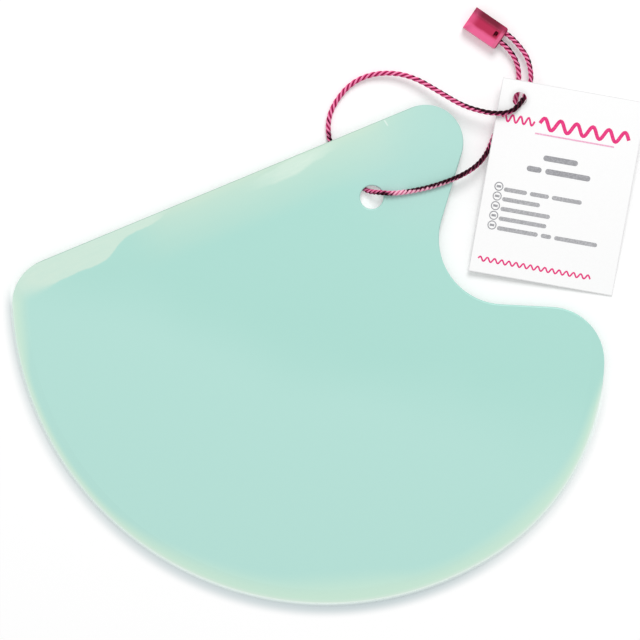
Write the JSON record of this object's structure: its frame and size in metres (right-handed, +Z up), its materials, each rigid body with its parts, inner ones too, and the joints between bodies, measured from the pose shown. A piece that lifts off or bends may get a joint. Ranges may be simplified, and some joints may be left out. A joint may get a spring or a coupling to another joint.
{
  "type": "bowl scraper",
  "caption": "Flexible plastic bowl scraper with a straight and a rounded scraping edge, a throat for the fingers, and a paper hang tag on a corded snap seal.",
  "frame": {"origin": "on the floor under the middle of the scraper's outline", "axes": "+X along the straight scraping edge towards the grip lobe, +Y from the rounded edge towards the straight edge, +Z up from the floor that the scraper and its tag lie on"},
  "size_m": [0.1774, 0.1346, 0.0063],
  "materials": {
    "scraper_plastic": "smooth, faintly glossy flexible plastic in pale mint",
    "cord": "twisted synthetic strands in pink with maroon shade between them",
    "seal_plastic": "moulded pink plastic",
    "card": null
  },
  "bodies": {
    "scraper": {"scraper": "scraper_plastic"},
    "cord_loop": {"tag_cord": "cord", "seal_block": "seal_plastic", "seal_plug": "seal_plastic"},
    "tag": {"tag_card": "card"}
  },
  "joints": [
    {"name": "loop_swing", "type": "hinge", "parent": "scraper", "child": "cord_loop", "pos_m": [0.03062, 0.04089, 0.0023], "axis": [-0.0086, -0.0109, 0.9999], "range_deg": [-5, 20]},
    {"name": "card_swing", "type": "hinge", "parent": "cord_loop", "child": "tag", "pos_m": [0.0758, 0.04969, 0.00434], "axis": [0, -0.0732, 0.9973], "range_deg": [0, 60]}
  ]
}
